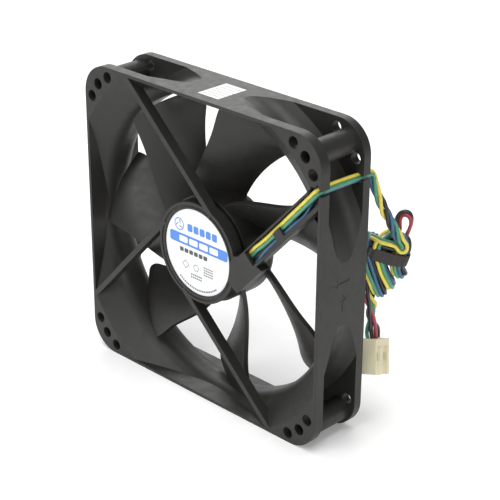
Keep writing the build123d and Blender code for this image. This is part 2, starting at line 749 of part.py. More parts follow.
def cable():
    cord("cable_lead", LEAD_ROUTE, LEAD_D)
    hank_and_band()
    cord("cable_tail", TAIL_ROUTE, LEAD_D)
    cord("power_riser", RISER_ROUTE, PAIR_D)
    cord("power_loop", LOOP_ROUTE, PAIR_D)
    cord("power_drop", DROP_ROUTE, PAIR_D)
    fan_plug()
    power_plug()


save("frame", stand(frame()))
labels()
bearing("front", FRONT_BEARING_Z)
bearing("rear", REAR_BEARING_Z)
shaft_group()
stator()
circuit()
rotor()
held_wires()
cable()
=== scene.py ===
from math import cos, pi, radians, sin, tau

import bmesh
import bpy
from mathutils import Matrix, Vector


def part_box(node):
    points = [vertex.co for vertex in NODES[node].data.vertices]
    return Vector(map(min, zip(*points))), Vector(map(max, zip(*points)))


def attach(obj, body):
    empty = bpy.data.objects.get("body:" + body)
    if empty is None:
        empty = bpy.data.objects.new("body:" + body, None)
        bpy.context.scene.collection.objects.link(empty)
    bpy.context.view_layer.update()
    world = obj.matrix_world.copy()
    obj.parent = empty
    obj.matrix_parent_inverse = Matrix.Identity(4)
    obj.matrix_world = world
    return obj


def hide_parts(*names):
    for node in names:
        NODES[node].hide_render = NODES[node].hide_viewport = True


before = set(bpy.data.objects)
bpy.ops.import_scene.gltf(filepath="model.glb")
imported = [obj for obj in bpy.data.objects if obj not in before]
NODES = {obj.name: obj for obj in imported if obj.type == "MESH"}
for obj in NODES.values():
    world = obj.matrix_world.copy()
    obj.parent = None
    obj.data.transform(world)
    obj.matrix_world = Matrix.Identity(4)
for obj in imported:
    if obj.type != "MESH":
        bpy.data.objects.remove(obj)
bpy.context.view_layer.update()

# A 120 mm case fan. Lengths are written in millimetres and scaled by MM; the frame is in metres.
# X runs across the fan, Y along its axis, with the label at -Y, and Z up from where it stands.
MM = 0.001

# Wires lie a hair more than their own width apart. The cords are as wide as their bundles.
WIRE_R = 0.7 * MM
WIRE_STEP = 1.42 * MM


# ------------------------------------------------------------------ camera


def make_camera():
    """A long lens at the fan's front right, looking down by about 25 degrees."""
    camera = bpy.data.objects.new("camera", bpy.data.cameras.new("camera"))
    bpy.context.scene.collection.objects.link(camera)
    yaw, pitch, roll = -0.772, -0.436, 0.007
    forward = Vector((sin(yaw) * cos(pitch), cos(yaw) * cos(pitch), sin(pitch)))
    level = forward.cross(Vector((0, 0, 1))).normalized()
    above = level.cross(forward)
    right = level * cos(roll) + above * sin(roll)
    up = above * cos(roll) - level * sin(roll)
    turn = Matrix((right, up, -forward)).transposed()
    place = Matrix.Translation(Vector((362.287, -356.483, 294.071)) * MM)
    camera.matrix_world = place @ turn.to_4x4()
    camera.data.sensor_width = 36.0
    camera.data.lens = 108.38
    bpy.context.scene.camera = camera


make_camera()


# ------------------------------------------------------------------ cords

# The hanging cable has axes of its own: across, up, and out towards the front right.
HANG_CENTRE = Vector((58.0, 26.6, 66.0))
HANG_TURN = radians(44.2)
ACROSS = Vector((cos(HANG_TURN), sin(HANG_TURN), 0))
UP = Vector((0, 0, 1))
OUT = Vector((sin(HANG_TURN), -cos(HANG_TURN), 0))


def hang(a, b, c):
    return HANG_CENTRE + ACROSS * a + UP * b + OUT * c


def read_spline(points, per_span=12):
    """The points of a smooth NURBS curve that has these control points."""
    curve = bpy.data.curves.new("route", "CURVE")
    curve.dimensions = "3D"
    curve.resolution_u = per_span
    spline = curve.splines.new("NURBS")
    spline.points.add(len(points) - 1)
    for control, point in zip(spline.points, points):
        control.co = (*point, 1.0)
    spline.order_u = 3
    spline.use_endpoint_u = True
    holder = bpy.data.objects.new("route", curve)
    mesh = bpy.data.meshes.new_from_object(holder)
    samples = [vertex.co.copy() for vertex in mesh.vertices]
    bpy.data.objects.remove(holder)
    bpy.data.meshes.remove(mesh)
    bpy.data.curves.remove(curve)
    return samples


def tangents(points):
    ahead = points[1:] + points[-1:]
    behind = points[:1] + points[:-1]
    return [(b - a).normalized() for a, b in zip(behind, ahead)]


def mesh_object(name, bm, body, *materials):
    mesh = bpy.data.meshes.new(name)
    bm.to_mesh(mesh)
    bm.free()
    made = bpy.data.objects.new(name, mesh)
    bpy.context.scene.collection.objects.link(made)
    for material in materials:
        mesh.materials.append(material)
    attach(made, body)
    return made


def tube(bm, centres, radius, sides=10):
    """A closed round tube through the centres, its rings turned as little as possible."""
    directions = tangents(centres)
    side = directions[0].orthogonal().normalized()
    rings = []
    for centre, along in zip(centres, directions):
        side = (side - along * side.dot(along)).normalized()
        other = along.cross(side)
        ring = []
        for k in range(sides):
            angle = tau * k / sides
            ring.append(bm.verts.new(centre + (side * cos(angle) + other * sin(angle)) * radius))
        rings.append(ring)
    for first, second in zip(rings, rings[1:]):
        for k in range(sides):
            n = (k + 1) % sides
            face = bm.faces.new((first[k], first[n], second[n], second[k]))
            face.smooth = True
    bm.faces.new(list(reversed(rings[0])))
    bm.faces.new(rings[-1])


class Route:
    """A cord's control points, and how its strands lie at each of them.

    side is the direction in which the strands spread, flat is 0 for a round bundle and 1 for
    strands side by side, twist turns the bundle, and comb is 1 where they enter a plug.
    """

    def __init__(self):
        self.points = []
        self.sides = []
        self.lays = []

    def add(self, point, side, flat=0.0, twist=0.0, comb=0.0):
        self.points.append(Vector(point) * MM)
        self.sides.append(Vector(side).normalized())
        self.lays.append(Vector((flat, radians(twist), comb)))

    def read(self):
        """Points, side directions, third directions and lays along the smooth curve."""
        line = read_spline(self.points)
        guides = read_spline(self.sides)
        lays = read_spline(self.lays)
        sides = []
        thirds = []
        for along, guide in zip(tangents(line), guides):
            side = (guide - along * guide.dot(along)).normalized()
            sides.append(side)
            thirds.append(side.cross(along))
        return line, sides, thirds, lays


def four_wire_lay(strand, lay, comb_places):
    """Where a strand of four lies: a square bundle that unrolls into a flat ribbon."""
    flat, twist, comb = lay
    half = WIRE_STEP / 2
    outer = strand in (0, 3)
    sign = -1 if strand < 2 else 1
    x, y = sign * half, half * (1 - flat)
    if outer:
        unroll = flat * pi / 2
        x += sign * WIRE_STEP * sin(unroll)
        y -= WIRE_STEP * cos(unroll)
    x, y = x * cos(twist) - y * sin(twist), x * sin(twist) + y * cos(twist)
    return blended((x, y), comb_places[strand], comb)


def two_wire_lay(strand, lay, comb_places):
    flat, twist, comb = lay
    x = (strand - 0.5) * WIRE_STEP
    return blended((x * cos(twist), x * sin(twist)), comb_places[strand], comb)


def blended(place, comb_place, comb):
    return [own * (1 - comb) + end * comb for own, end in zip(place, comb_place)]


WANDER = 0.10 * MM
EASE_STEPS = 24


def wander(strand, s):
    """A strand's own small wave, so that the wires don't lie quite parallel."""
    x = sin(s / (4.1 * MM) + 1.7 * strand) + 0.6 * sin(s / (2.3 * MM) + 2.9 * strand)
    y = sin(s / (3.4 * MM) + 2.3 * strand) + 0.6 * sin(s / (1.9 * MM) + 0.8 * strand)
    return x * WANDER, y * WANDER


def strand_centres(route_lines, strand, lay_of, comb_places):
    """The points that one strand follows. It doesn't wander near the cord's ends."""
    centres = []
    travelled = 0.0
    line, sides, thirds, lays = route_lines
    for k, point in enumerate(line):
        if k:
            travelled += (point - line[k - 1]).length
        x, y = lay_of(strand, lays[k], comb_places)
        dx, dy = wander(strand, travelled)
        ease = min(1.0, k / EASE_STEPS, (len(line) - 1 - k) / EASE_STEPS)
        centres.append(point + sides[k] * (x + dx * ease) + thirds[k] * (y + dy * ease))
    return centres


# The plug's wide side, along which its four ways lie 2.54 mm apart, as it hangs turned and leant.
PLUG_TURN = radians(57.0)
PLUG_LEAN = radians(25.0)
WAY_PITCH = 2.54
PLUG_BACK = OUT * cos(PLUG_LEAN) + UP * sin(PLUG_LEAN)
PLUG_SIDE = ACROSS * cos(PLUG_TURN) - PLUG_BACK * sin(PLUG_TURN)

# Each column of the hank in (a, b), from its upper end, under the band, to its lower end. The
# passes run between the ends, which only say where the folds start.
LEFT_COLUMN = ((-9.2, 5.0), (-8.7, 3.0), (-7.9, 0.2), (-6.8, -3.4), (-5.0, -8.0), (-3.4, -12.4))
MIDDLE_COLUMN = ((-5.0, 5.4), (-4.3, 3.6), (-3.4, 0.9), (-2.4, -2.0), (-1.2, -5.8), (0.4, -9.4))
RIGHT_COLUMN = ((6.0, 6.0), (5.8, 4.0), (4.8, 1.4), (3.6, -1.2), (2.9, -3.8), (3.4, -6.4))
RETURN_COLUMN = ((0.4, 3.6), (-0.8, 1.0), (-2.4, -2.4), (-4.0, -6.4), (-5.2, -9.6))
FOLD_STEPS = 4
FOLD_FULLNESS = 1.08


def fold(route, start, end, start_depth, end_depth, outward, reach, flat, turn):
    """A half turn in depth, from one pass of the cable to the next."""
    middle = (start_depth + end_depth) / 2
    for k in range(FOLD_STEPS):
        share = (k + 0.5) / FOLD_STEPS
        angle = pi * share
        a = start[0] + (end[0] - start[0]) * share + outward[0] * reach * sin(angle)
        b = start[1] + (end[1] - start[1]) * share + outward[1] * reach * sin(angle)
        depth = middle + (start_depth - middle) * cos(angle) * FOLD_FULLNESS
        route.add(hang(a, b, depth), ACROSS, flat, turn)


def lead_route():
    """From the notch at the rear, through the hank, down to the plug."""
    route = Route()
    x_axis = Vector((1, 0, 0))
    route.add((57.2, 12.5, 100.3), x_axis, 0, -135)
    route.add((57.2, 15.45, 100.3), x_axis, 0, -135)
    route.add((57.35, 16.85, 98.9), x_axis, 0, -140)
    route.add((58.2, 17.2, 95.0), x_axis + ACROSS, 0, -190)
    route.add((60.0, 18.6, 89.0), ACROSS, 0.1, -305)
    route.add((62.1, 21.6, 82.4), ACROSS, 0.1, -445)
    route.add(hang(1.8, 11.3, 5.4), ACROSS, 0.1, -545)
    # The first pass runs back to the left across the front of the hank.
    route.add(hang(3.2, 8.0, 5.6), ACROSS, 0.1, -600)
    route.add(hang(5.1, 6.2, 5.5), ACROSS, 0.15, -615)
    route.add(hang(5.1, 4.6, 5.2), ACROSS, 0.15, -640)
    route.add(hang(3.6, 4.4, 4.8), ACROSS - UP, 0.2, -665)
    route.add(hang(2.0, 5.4, 4.6), -UP, 0.2, -675)
    route.add(hang(0.4, 6.0, 4.7), -UP, 0.25, -675)
    route.add(hang(-2.6, 6.7, 4.7), -UP, 0.25, -680)
    route.add(hang(-4.6, 7.2, 3.2), -UP, 0.2, -690)
    route.add(hang(-5.6, 7.0, 0.6), ACROSS - UP, 0.3, -705)
    route.add(hang(-7.6, 6.2, -2.0), ACROSS, 0.5, -720)
    # Each column, its depths behind and in front, flatness, lower fold's direction and reach, twist.
    columns = (
        (LEFT_COLUMN, -3.3, 4.2, 0.6, (0.42, -0.91), 3.6, -720),
        (MIDDLE_COLUMN, -3.3, 3.7, 0.25, (0.6, -0.8), 3.0, -790),
        (RIGHT_COLUMN, -3.2, 3.3, 0.5, (0.75, -0.66), 2.4, -720),
    )
    tops = ((-5.0, 5.4), (5.8, 5.9), (1.0, 5.6))
    for k, (column, back, front, flat, outward, reach, turn) in enumerate(columns):
        for a, b in column[1:-1]:
            route.add(hang(a, b, back), ACROSS, flat, turn)
        fold(route, column[-1], column[-1], back, front, outward, reach, flat, turn)
        for a, b in reversed(column[1:-1]):
            route.add(hang(a, b, front), ACROSS, flat, turn)
        after = columns[k + 1][1] if k < 2 else -1.3
        fold(route, column[0], tops[k], front, after, (0.0, 1.0), 2.4, flat, turn)
    for a, b in RETURN_COLUMN:
        route.add(hang(a, b, -1.3), ACROSS, 0.8, -720)
    # The tail swings behind the pair to the back of the plug's top.
    route.add(hang(-5.4, -12.5, -1.4), ACROSS, 0.5, -720)
    route.add(hang(-5.4, -18.0, -2.2), ACROSS, 0.1, -660)
    route.add(hang(-4.4, -22.4, -3.0), ACROSS, 0.1, -560)
    route.add(hang(-5.0, -26.8, -3.2), ACROSS, 0.1, -480)
    route.add(hang(-3.3, -31.0, -2.9), ACROSS + PLUG_SIDE, 0.2, -400, 0.5)
    route.add(hang(-1.9, -34.6, -1.42), PLUG_SIDE, 0.6, -360, 1.0)
    return route


def pair_route():
    """From the plug up through the band, round the loop above it and down to the power plug."""
    route = Route()
    route.add(hang(-4.2, -33.15, 1.7), PLUG_SIDE, 0, 180, 1.0)
    route.add(hang(-4.2, -30.0, 0.3), PLUG_SIDE + ACROSS, 0, 180, 0.7)
    route.add(hang(-4.5, -26.4, 1.2), ACROSS, 0, 180, 0.0)
    route.add(hang(-5.6, -21.2, 2.6), ACROSS, 0, 110)
    route.add(hang(-7.4, -15.2, 2.8), ACROSS, 0, 0)
    route.add(hang(-8.2, -9.8, 2.4), ACROSS, 0, 0)
    route.add(hang(-7.0, -4.8, 1.6), ACROSS, 0, 30)
    route.add(hang(-4.0, 0.4, 0.8), ACROSS, 0, 90)
    route.add(hang(0.4, 4.2, -0.6), ACROSS, 0, 130)
    route.add(hang(3.6, 8.0, -2.2), ACROSS, 0, 160)
    route.add(hang(3.3, 10.8, -2.2), ACROSS, 0, 180)
    route.add(hang(3.3, 13.2, -2.1), ACROSS, 0, 180)
    route.add(hang(4.4, 15.1, -2.0), ACROSS - UP, 0, 180)
    route.add(hang(6.4, 15.4, -1.8), -UP * 2 - ACROSS, 0, 200)
    route.add(hang(7.9, 13.8, -1.6), -ACROSS * 2 - UP, 0, 250)
    route.add(hang(8.0, 11.4, -1.4), -ACROSS, 0, 270)
    route.add(hang(7.2, 9.0, -1.2), -ACROSS, 0, 270)
    route.add(hang(6.2, 6.6, -0.9), -ACROSS, 0, 270)
    route.add(hang(4.6, 3.2, -0.4), -ACROSS, 0, 300)
    route.add(hang(2.4, 0.2, -0.3), -ACROSS + UP, 0, 330)
    route.add(hang(-2.0, -1.2, -0.9), UP, 0, 360)
    route.add(hang(-8.0, -2.4, -2.6), UP, 0, 360)
    route.add(hang(-11.4, -4.8, -4.8), UP - ACROSS, 0, 380)
    route.add(hang(-13.6, -10.0, -7.6), -ACROSS, 0, 420)
    route.add(hang(-15.0, -16.4, -11.0), -ACROSS, 0, 460)
    route.add(hang(-15.5, -22.4, -13.8), -ACROSS, 0, 490)
    route.add(hang(-15.5, -28.0, -13.8), -OUT, 0, 540)
    return route


def make_strands(names, route, lay_of, comb_places):
    lines = route.read()
    made = []
    for strand, name in enumerate(names):
        bm = bmesh.new()
        tube(bm, strand_centres(lines, strand, lay_of, comb_places), WIRE_R)
        made.append(mesh_object(name, bm, "housing"))
    return lines[0], made


# Where the two cords' lines end along the plug's side, and how far behind or in front of the
# lines their wires enter it.
LEAD_END = 1.9
PAIR_END = -2.3
ASIDE = 0.85 * MM


def lead_combs():
    """Where yellow, green, blue and black enter the plug, from the end of the lead's line."""
    ways = [(WAY_PITCH * (k - 1.5) - LEAD_END) * MM for k in (2, 0, 1, 3)]
    return [(way, ASIDE) for way in ways]


def pair_combs():
    """Red and black enter the first two ways, in front of the lead's wires."""
    ways = [(WAY_PITCH * (k - 1.5) - PAIR_END) * MM for k in (1, 0)]
    return [(way, ASIDE) for way in ways]


lead = lead_route()
lead_line, lead_strands = make_strands(
    ("lead_yellow", "lead_green", "lead_blue", "lead_black"), lead, four_wire_lay, lead_combs()
)
pair = pair_route()
pair_line, pair_strands = make_strands(("pair_red", "pair_black"), pair, two_wire_lay, pair_combs())


# ------------------------------------------------------------------ materials


class Shader:
    """A Principled material with a few helpers for its procedural detail."""

    def __init__(self, name):
        self.material = bpy.data.materials.new(name)
        self.material.use_nodes = True
        self.tree = self.material.node_tree
        self.surface = self.tree.nodes["Principled BSDF"]
        self.place = self.tree.nodes.new("ShaderNodeTexCoord").outputs["Object"]

    def set(self, **values):
        for name, value in values.items():
            self.surface.inputs[name.replace("_", " ")].default_value = value
        return self

    def node(self, kind, **inputs):
        made = self.tree.nodes.new(kind)
        for name, value in inputs.items():
            socket = made.inputs[name.replace("_", " ")]
            if isinstance(value, bpy.types.NodeSocket):
                self.tree.links.new(value, socket)
            else:
                socket.default_value = value
        return made

    def noise(self, size_mm, detail=3.0, roughness=0.55, vector=None):
        """Noise whose features are about this size."""
        made = self.node(
            "ShaderNodeTexNoise",
            Vector=vector or self.place,
            Scale=1.0 / (size_mm * MM),
            Detail=detail,
            Roughness=roughness,
        )
        return made.outputs["Fac"]

    def stretched(self, x, y, z):
        """Object coordinates scaled unevenly, for grain that runs one way."""
        made = self.node("ShaderNodeMapping", Vector=self.place, Scale=(x, y, z))
        return made.outputs["Vector"]

    def spread(self, value, low, high, from_low=0.3, from_high=0.7):
        """A value brought from the noise's middle range to another range."""
        made = self.node(
            "ShaderNodeMapRange",
            Value=value,
            From_Min=from_low,
            From_Max=from_high,
            To_Min=low,
            To_Max=high,
        )
        return made.outputs["Result"]

    def ramp(self, value, *stops):
        made = self.node("ShaderNodeValToRGB", Fac=value)
        colours = made.color_ramp
        colours.elements[0].position = stops[0][0]
        colours.elements[0].color = (*stops[0][1], 1)
        colours.elements[1].position = stops[-1][0]
        colours.elements[1].color = (*stops[-1][1], 1)
        for position, colour in stops[1:-1]:
            colours.elements.new(position).color = (*colour, 1)
        return made.outputs["Color"]

    def link(self, output, name):
        self.tree.links.new(output, self.surface.inputs[name])
        return self

    def bump(self, height, depth_mm, strength, edge_mm=0.0):
        """Relief of this depth, over edges softened by edge_mm."""
        made = self.node("ShaderNodeBump", Height=height, Distance=depth_mm * MM, Strength=strength)
        if edge_mm:
            soft = self.node("ShaderNodeBevel", Radius=edge_mm * MM)
            soft.samples = 4
            self.tree.links.new(soft.outputs["Normal"], made.inputs["Normal"])
        return made.outputs["Normal"]


def shade(colour, factor):
    return tuple(min(1.0, channel * factor) for channel in colour)


def moulded(name, colour, roughness, grain_mm=0.35, depth_mm=0.012, edge_mm=0.3, spread=0.12):
    """Injection-moulded plastic: fine grain, cloudy gloss and softened edges."""
    shader = Shader(name)
    clouds = shader.noise(14.0, 4.0)
    colours = shader.ramp(clouds, (0.3, shade(colour, 1 - spread)), (0.7, shade(colour, 1 + spread)))
    shader.link(colours, "Base Color")
    gloss = shader.noise(3.0, 5.0)
    shader.link(shader.spread(gloss, roughness - 0.05, roughness + 0.07), "Roughness")
    grain = shader.noise(grain_mm, 2.0)
    shader.link(shader.bump(grain, depth_mm, 0.6, edge_mm), "Normal")
    return shader


def wire_skin(name, colour, roughness=0.34):
    """PVC insulation: glossy, faintly wavy, with slightly paler scuffs."""
    shader = Shader(name)
    scuffs = shader.noise(2.2, 5.0, 0.6)
    colours = shader.ramp(
        scuffs, (0.32, shade(colour, 0.86)), (0.55, colour), (0.8, shade(colour, 1.16))
    )
    shader.link(colours, "Base Color")
    shader.link(shader.spread(scuffs, roughness - 0.06, roughness + 0.1), "Roughness")
    waves = shader.noise(0.9, 3.0)
    shader.link(shader.bump(waves, 0.03, 0.5), "Normal")
    shader.set(Coat_Weight=0.15, Coat_Roughness=0.2, Subsurface_Weight=0.08, Subsurface_Scale=0.0008)
    return shader.material


def metal(name, colour, roughness, streak=(1, 1, 1), grain_mm=0.4, depth_mm=0.006, edge_mm=0.1):
    shader = Shader(name)
    grain = shader.noise(grain_mm, 4.0, 0.6, shader.stretched(*streak))
    colours = shader.ramp(grain, (0.3, shade(colour, 0.82)), (0.7, shade(colour, 1.1)))
    shader.link(colours, "Base Color")
    shader.link(shader.spread(grain, roughness - 0.06, roughness + 0.1), "Roughness")
    shader.link(shader.bump(grain, depth_mm, 0.5, edge_mm), "Normal")
    shader.set(Metallic=1.0)
    return shader.material


def housing_plastic():
    shader = moulded("housing_plastic", (0.021, 0.0205, 0.0180), 0.46, 0.3, 0.014, 0.35)
    shader.set(Specular_IOR_Level=0.38)
    return shader.material


def rotor_plastic():
    shader = moulded("rotor_plastic", (0.0165, 0.016, 0.0145), 0.40, 0.45, 0.008, 0.3)
    shader.set(Specular_IOR_Level=0.42)
    return shader.material


def paper(name, colour, roughness):
    """Printed film or paper: almost even, with the finest tooth."""
    shader = Shader(name)
    tooth = shader.noise(0.25, 4.0)
    clouds = shader.noise(9.0, 2.0)
    colours = shader.ramp(clouds, (0.3, shade(colour, 0.97)), (0.7, shade(colour, 1.02)))
    shader.link(colours, "Base Color")
    shader.link(shader.spread(tooth, roughness - 0.05, roughness + 0.05), "Roughness")
    shader.link(shader.bump(tooth, 0.006, 0.4), "Normal")
    return shader.material


def print_ink(name, colour, roughness=0.4):
    """Ink on a label, a little uneven where it meets the tooth of the film."""
    shader = Shader(name)
    speckle = shader.noise(0.2, 4.0)
    colours = shader.ramp(
        speckle, (0.25, shade(colour, 1.12)), (0.6, colour), (0.8, shade(colour, 0.92))
    )
    shader.link(colours, "Base Color")
    shader.link(shader.spread(speckle, roughness - 0.05, roughness + 0.06), "Roughness")
    shader.link(shader.bump(speckle, 0.004, 0.4), "Normal")
    return shader.material


def wound_copper():
    """Enamelled wire in close turns across each coil, with painted shade in the grooves between the
    turns.
    """
    shader = Shader("wound_copper")
    turns = shader.node(
        "ShaderNodeTexWave", Vector=shader.place, Scale=1800.0, Distortion=1.2, Detail=2.0
    )
    turns.bands_direction = "DIAGONAL"
    height = turns.outputs["Fac"]
    # Painted shade: dark brown in the grooves between turns, copper on their crests, along the same
    # wave as the bump.
    colours = shader.ramp(height, (0.1, (0.18, 0.05, 0.02)), (0.7, (0.62, 0.25, 0.10)))
    shader.link(colours, "Base Color")
    shader.link(shader.spread(height, 0.25, 0.45, 0.0, 1.0), "Roughness")
    shader.link(shader.bump(height, 0.08, 0.8), "Normal")
    shader.set(Metallic=0.85)
    return shader.material


def laminated_steel():
    """Stacked core plates, seen as fine lines along the fan's axis."""
    shader = Shader("laminated_steel")
    plates = shader.node("ShaderNodeTexWave", Vector=shader.place, Scale=1000.0, Distortion=0.3)
    plates.bands_direction = "Y"
    height = plates.outputs["Fac"]
    colours = shader.ramp(height, (0.2, (0.16, 0.17, 0.19)), (0.8, (0.38, 0.39, 0.42)))
    shader.link(colours, "Base Color")
    shader.link(shader.spread(height, 0.35, 0.5, 0.0, 1.0), "Roughness")
    shader.link(shader.bump(height, 0.05, 0.7), "Normal")
    shader.set(Metallic=0.9)
    return shader.material


def assign(material, *names):
    for name in names:
        data = NODES[name].data
        data.materials.clear()
        data.materials.append(material)


YELLOW = (0.80, 0.66, 0.10)
GREEN = (0.075, 0.30, 0.185)
BLUE = (0.045, 0.125, 0.25)
BLACK = (0.016, 0.016, 0.017)
RED = (0.40, 0.045, 0.07)
IVORY = (0.80, 0.74, 0.52)


def finish_nodes():
    steel = metal("drawn_steel", (0.56, 0.56, 0.57), 0.28, (1, 0.15, 1))
    ground = metal("bearing_steel", (0.72, 0.72, 0.73), 0.18, (1, 0.3, 1), 0.2)
    brass = metal("turned_brass", (0.78, 0.58, 0.28), 0.26, (1, 0.2, 1))
    tin = metal("tin_plate", (0.72, 0.71, 0.68), 0.3)
    nylon = moulded("natural_nylon", (0.66, 0.63, 0.54), 0.42, 0.4, 0.01, 0.15).material
    epoxy = moulded("chip_epoxy", (0.03, 0.03, 0.032), 0.5, 0.15, 0.012, 0.08).material
    solder_mask = moulded("solder_mask", (0.03, 0.16, 0.07), 0.32, 0.5, 0.01, 0.06).material
    ferrite = moulded("bonded_ferrite", (0.045, 0.043, 0.043), 0.6, 0.2, 0.02, 0.15).material
    ceramic = moulded("fired_ceramic", (0.42, 0.30, 0.18), 0.35, 0.2, 0.006, 0.05).material
    assign(housing_plastic(), "frame")
    assign(rotor_plastic(), "impeller")
    assign(paper("label_film", (0.84, 0.86, 0.86), 0.32), "hub_label")
    assign(paper("sticker_paper", (0.82, 0.83, 0.82), 0.55), "side_sticker")
    assign(steel, "shaft", "shaft_washer", "retaining_clip", "preload_spring", "rotor_yoke")
    assign(brass, "bearing_tube", "hub_bushing", "front_bearing_cage", "rear_bearing_cage")
    for end in ("front", "rear"):
        for part in ("outer_ring", "inner_ring", "balls", "shields"):
            assign(ground, f"{end}_bearing_{part}")
    assign(tin, "terminal_pins", "solder_joints", "fan_plug_terminals", "power_plug_pins")
    assign(nylon, "front_insulator", "rear_insulator")
    assign(epoxy, "hall_sensor", "driver_chip", "chip_resistors")
    assign(ceramic, "chip_capacitors")
    assign(solder_mask, "circuit_board")
    assign(ferrite, "magnet_ring")
    assign(wound_copper(), "windings")
    assign(laminated_steel(), "stator_core")
    plug = moulded("plug_nylon", IVORY, 0.38, 0.5, 0.01, 0.35, 0.05)
    plug.set(Subsurface_Weight=0.15, Subsurface_Scale=0.002)
    assign(plug.material, "fan_plug")
    white = moulded("white_nylon", (0.76, 0.76, 0.71), 0.4, 0.5, 0.01, 0.35, 0.05)
    white.set(Subsurface_Weight=0.15, Subsurface_Scale=0.002)
    assign(white.material, "power_plug")


skins = {
    "yellow": wire_skin("yellow_pvc", YELLOW),
    "green": wire_skin("green_pvc", GREEN),
    "blue": wire_skin("blue_pvc", BLUE),
    "black": wire_skin("black_pvc", BLACK),
    "red": wire_skin("red_pvc", RED),
}
finish_nodes()
for colour in ("black", "yellow", "green", "blue"):
    assign(skins[colour], f"wire_{colour}")
for strand, colour in zip(lead_strands, ("yellow", "green", "blue", "black")):
    strand.data.materials.append(skins[colour])
    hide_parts("cable_lead", "cable_hank", "cable_tail")
for strand, colour in zip(pair_strands, ("red", "black")):
    strand.data.materials.append(skins[colour])
    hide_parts("power_riser", "power_loop", "power_drop")


# ------------------------------------------------------------------ the band

BAND_MIDDLE = (-1.7, 1.3)
BAND_TILT = radians(-17.0)
BAND_HALF = (9.35, 5.45)
BAND_WIDTH = 4.8
BAND_STEPS = 96
BAND_LEAN = 0.25
# The band's outline is a square-cornered ellipse: 1 would be an ellipse, 0 a rectangle.
BAND_ROUNDNESS = 0.5
# The band's section: places along its width, as shares of it, and how far each stands out.
BAND_SECTION = (
    (-0.5, -0.65),
    (-0.5, -0.1),
    (-0.42, 0.0),
    (-0.2, 0.10),
    (0.0, 0.04),
    (0.22, 0.12),
    (0.43, 0.0),
    (0.5, -0.1),
    (0.5, -0.65),
)


def band_skin():
    """Soft dark sleeve, faintly creased round its length."""
    shader = Shader("band_sleeve")
    creases = shader.noise(1.3, 4.0)
    colours = shader.ramp(creases, (0.3, (0.012, 0.010, 0.008)), (0.75, (0.030, 0.025, 0.020)))
    shader.link(colours, "Base Color")
    shader.link(shader.spread(creases, 0.42, 0.6), "Roughness")
    shader.link(shader.bump(creases, 0.12, 0.7), "Normal")
    return shader.material


def band():
    """A sleeve round the hank, pressed out by the wires under it."""
    bm = bmesh.new()
    across = ACROSS * cos(BAND_TILT) + UP * sin(BAND_TILT)
    along = UP * cos(BAND_TILT) - ACROSS * sin(BAND_TILT)
    centre = hang(BAND_MIDDLE[0], BAND_MIDDLE[1], 0)
    rings = []
    for k in range(BAND_STEPS):
        angle = tau * k / BAND_STEPS
        c, s = cos(angle), sin(angle)
        x = BAND_HALF[0] * abs(c) ** BAND_ROUNDNESS * (1 if c >= 0 else -1)
        z = BAND_HALF[1] * abs(s) ** BAND_ROUNDNESS * (1 if s >= 0 else -1)
        outward = Vector((x / BAND_HALF[0] ** 2, z / BAND_HALF[1] ** 2)).normalized()
        ridge = 0.16 * sin(angle * 23 + 0.8 * sin(angle * 3)) + 0.10 * sin(angle * 9 + 1.0)
        lean = BAND_LEAN * sin(angle * 2 + 0.7)
        ring = []
        for width, lift in BAND_SECTION:
            grow = lift + ridge
            point = centre + across * (x + outward.x * grow) + OUT * (z + outward.y * grow)
            ring.append(bm.verts.new((point + along * (width * BAND_WIDTH + lean)) * MM))
        rings.append(ring)
    for k, ring in enumerate(rings):
        after = rings[(k + 1) % BAND_STEPS]
        for n in range(len(BAND_SECTION)):
            m = (n + 1) % len(BAND_SECTION)
            bm.faces.new((ring[n], ring[m], after[m], after[n])).smooth = True
    bmesh.ops.recalc_face_normals(bm, faces=bm.faces)
    sleeve = mesh_object("band_sleeve", bm, "housing", band_skin())
    smooth = sleeve.modifiers.new("smooth", "SUBSURF")
    smooth.levels = 1
    smooth.render_levels = 1
    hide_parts("cable_band")
    return sleeve


sleeve = band()


# ------------------------------------------------------------------ printed labels

AXIS_HEIGHT = 60.0
LABEL_FACE_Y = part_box("hub_label")[0].y / MM
STICKER_TOP_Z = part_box("side_sticker")[1].z / MM
# Print lies this far off the paper, and print over print a little further.
INK_LIFT = 0.03
OVERPRINT_LIFT = 0.05


def flat_shape(bm, outline, to_point):
    """A flat face through an outline given in the label's own plane."""
    bm.faces.new([bm.verts.new(to_point(x, z) * MM) for x, z in outline])


def on_label(x, z):
    return Vector((x, LABEL_FACE_Y - INK_LIFT, z + AXIS_HEIGHT))


def on_blue_bar(x, z):
    return Vector((x, LABEL_FACE_Y - OVERPRINT_LIFT, z + AXIS_HEIGHT))


def on_sticker(x, y):
    return Vector((x, y, STICKER_TOP_Z + INK_LIFT))


def bar(x0, x1, z0, z1, radius, steps=5):
    """The outline of a rectangle with round corners."""
    outline = []
    corners = ((x1, z0, -90), (x1, z1, 0), (x0, z1, 90), (x0, z0, 180))
    for x, z, first in corners:
        cx = x - radius if x == x1 else x + radius
        cz = z - radius if z == z1 else z + radius
        for k in range(steps + 1):
            angle = radians(first + 90 * k / steps)
            outline.append((cx + radius * cos(angle), cz + radius * sin(angle)))
    return outline


def ring_faces(bm, x, z, outer, inner, to_point, steps=32, start=0, sweep=360):
    """A flat ring, or a part of one, round a point of the label."""
    for k in range(steps):
        a = radians(start + sweep * k / steps)
        b = radians(start + sweep * (k + 1) / steps)
        corners = ((inner, a), (outer, a), (outer, b), (inner, b))
        flat_shape(bm, [(x + r * cos(t), z + r * sin(t)) for r, t in corners], to_point)


DASH_ROUNDNESS = 0.22
DASH_CORNER_STEPS = 3


def dashes(bm, x0, z0, z1, widths, gap, to_point):
    """A row of blocks that stands for a line of print."""
    x = x0
    for width in widths:
        radius = min(width, z1 - z0) * DASH_ROUNDNESS
        flat_shape(bm, bar(x, x + width, z0, z1, radius, DASH_CORNER_STEPS), to_point)
        x += width + gap


VANE_STEPS = 8


